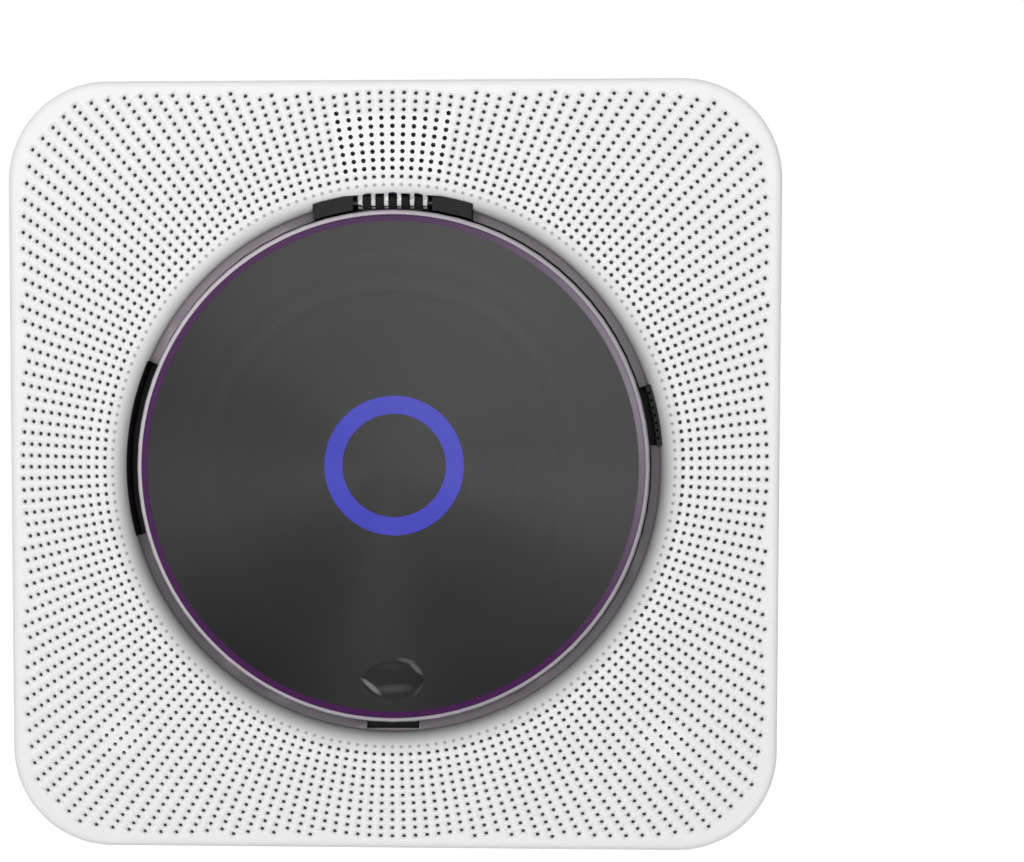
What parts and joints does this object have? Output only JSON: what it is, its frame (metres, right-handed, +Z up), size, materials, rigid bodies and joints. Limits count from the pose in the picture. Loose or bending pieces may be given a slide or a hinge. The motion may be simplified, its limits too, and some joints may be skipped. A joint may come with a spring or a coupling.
{
  "type": "wall mounted cd player",
  "caption": "Square white wall mounted disc player with a radially perforated front and a round smoked cover, hinged at the top over a disc well.",
  "frame": {"origin": "on the wall, at the centre of the bracket's screw pattern, behind the middle of the disc well", "axes": "+X to the right seen from the front, +Y into the wall, +Z up"},
  "size_m": [0.1904, 0.043, 0.1898],
  "materials": {
    "white_plastic": "satin moulded ABS",
    "black_plastic": "fine matt moulded ABS",
    "grey_plastic": "satin moulded acetal",
    "smoked_cover": "clear smoked acrylic with a spun look",
    "blue_glow": "translucent diffuser lit from behind",
    "steel": "zinc plated steel",
    "brass": "turned",
    "rubber": "soft moulded",
    "foam": "closed cell foam",
    "board_green": "glass fibre board with solder mask",
    "chip_black": "moulded epoxy",
    "display_glass": "dark filter",
    "cone_paper": "coated paper",
    "lens_clear": "polished"
  },
  "bodies": {
    "housing": {"audio_jacks": "black_plastic", "back_shell": "white_plastic", "board_components": "chip_black", "case_frame": "white_plastic", "case_screws": "steel", "chassis_dampers": "rubber", "disc_deck": "black_plastic", "display_board": "board_green", "display_module": "display_glass", "front_panel": "white_plastic", "guide_rods": "steel", "hinge_ears": "black_plastic", "hinge_pin": "steel", "infrared_receiver": "chip_black", "key_board": "board_green", "latch_body": "black_plastic", "lid_switch": "black_plastic", "light_ring": "blue_glow", "light_ring_board": "board_green", "main_board": "board_green", "mechanism_chassis": "steel", "power_inlet": "black_plastic", "power_switch": "black_plastic", "sled_motor": "steel", "small_screws": "steel", "socket_board": "board_green", "speaker_basket_left": "steel", "speaker_basket_right": "steel", "speaker_cone_left": "cone_paper", "speaker_cone_right": "cone_paper", "speaker_gaskets": "foam", "spindle_motor": "steel", "tact_switches": "chip_black", "usb_socket": "steel", "vent_insert": "black_plastic", "wall_bracket": "steel", "wall_feet": "rubber"},
    "cover": {"dust_cover": "smoked_cover", "cover_keeper": "steel", "hinge_leaf": "black_plastic"},
    "latch_plunger": {"latch_plunger": "black_plastic"},
    "lid_switch_pin": {"lid_switch_pin": "black_plastic"},
    "turntable": {"turntable": "black_plastic", "turntable_mat": "rubber", "spindle": "steel"},
    "sled": {"pickup_sled": "grey_plastic", "sled_rack": "grey_plastic"},
    "lens": {"lens_holder": "black_plastic", "objective_lens": "lens_clear"},
    "drive_gear": {"drive_gear": "grey_plastic"},
    "motor_pinion": {"motor_pinion": "brass"},
    "power_knob": {"power_knob": "black_plastic"},
    "hub_claw_1": {"hub_claw_1": "black_plastic"},
    "hub_claw_2": {"hub_claw_2": "black_plastic"},
    "hub_claw_3": {"hub_claw_3": "black_plastic"},
    "button_volume_down": {"button_volume_down": "white_plastic"},
    "button_previous": {"button_previous": "white_plastic"},
    "button_play": {"button_play": "white_plastic"},
    "button_next": {"button_next": "white_plastic"},
    "button_volume_up": {"button_volume_up": "white_plastic"}
  },
  "joints": [
    {"name": "cover_hinge", "type": "hinge", "parent": "housing", "child": "cover", "pos_m": [0, -0.0396, 0.0646], "axis": [-1, 0, 0], "range_deg": [0, 85]},
    {"name": "latch_press", "type": "slide", "parent": "housing", "child": "latch_plunger", "axis": [0, 1, 0], "range_m": [0, 0.0012], "stiffness_N_per_m": 1000},
    {"name": "lid_switch_press", "type": "slide", "parent": "housing", "child": "lid_switch_pin", "axis": [0, 1, 0], "range_m": [0, 0.0008], "stiffness_N_per_m": 500},
    {"name": "spindle_spin", "type": "hinge", "parent": "housing", "child": "turntable", "pos_m": [0, -0.0325, 0], "axis": [0, 1, 0], "continuous": true},
    {"name": "sled_slide", "type": "slide", "parent": "housing", "child": "sled", "axis": [1, 0, 0], "range_m": [0, 0.0345]},
    {"name": "lens_focus", "type": "slide", "parent": "sled", "child": "lens", "axis": [0, -1, 0], "range_m": [-0.0004, 0.0004], "stiffness_N_per_m": 60},
    {"name": "drive_gear_spin", "type": "hinge", "parent": "housing", "child": "drive_gear", "pos_m": [0.04, -0.0264, 0.0258], "axis": [0, 1, 0], "range_deg": [-414, 0]},
    {"name": "motor_pinion_spin", "type": "hinge", "parent": "housing", "child": "motor_pinion", "pos_m": [0.03038, -0.0272, 0.03542], "axis": [0, 1, 0], "range_deg": [0, 993]},
    {"name": "power_slide", "type": "slide", "parent": "housing", "child": "power_knob", "axis": [0, 0, 1], "range_m": [0, 0.0025]},
    {"name": "claw_1_press", "type": "slide", "parent": "turntable", "child": "hub_claw_1", "axis": [0, 0, -1], "range_m": [0, 0.0005], "stiffness_N_per_m": 600},
    {"name": "claw_2_press", "type": "slide", "parent": "turntable", "child": "hub_claw_2", "axis": [0.866, 0, 0.5], "range_m": [0, 0.0005], "stiffness_N_per_m": 600},
    {"name": "claw_3_press", "type": "slide", "parent": "turntable", "child": "hub_claw_3", "axis": [-0.866, 0, 0.5], "range_m": [0, 0.0005], "stiffness_N_per_m": 600},
    {"name": "volume_down_press", "type": "slide", "parent": "housing", "child": "button_volume_down", "axis": [0, 0, -1], "range_m": [0, 0.0005], "stiffness_N_per_m": 2000},
    {"name": "previous_press", "type": "slide", "parent": "housing", "child": "button_previous", "axis": [0, 0, -1], "range_m": [0, 0.0005], "stiffness_N_per_m": 2000},
    {"name": "play_press", "type": "slide", "parent": "housing", "child": "button_play", "axis": [0, 0, -1], "range_m": [0, 0.0005], "stiffness_N_per_m": 2000},
    {"name": "next_press", "type": "slide", "parent": "housing", "child": "button_next", "axis": [0, 0, -1], "range_m": [0, 0.0005], "stiffness_N_per_m": 2000},
    {"name": "volume_up_press", "type": "slide", "parent": "housing", "child": "button_volume_up", "axis": [0, 0, -1], "range_m": [0, 0.0005], "stiffness_N_per_m": 2000}
  ],
  "couplings": [
    {"joint": "drive_gear_spin", "follows": "sled_slide", "rad_per_m": -208.33},
    {"joint": "motor_pinion_spin", "follows": "sled_slide", "rad_per_m": 500}
  ]
}
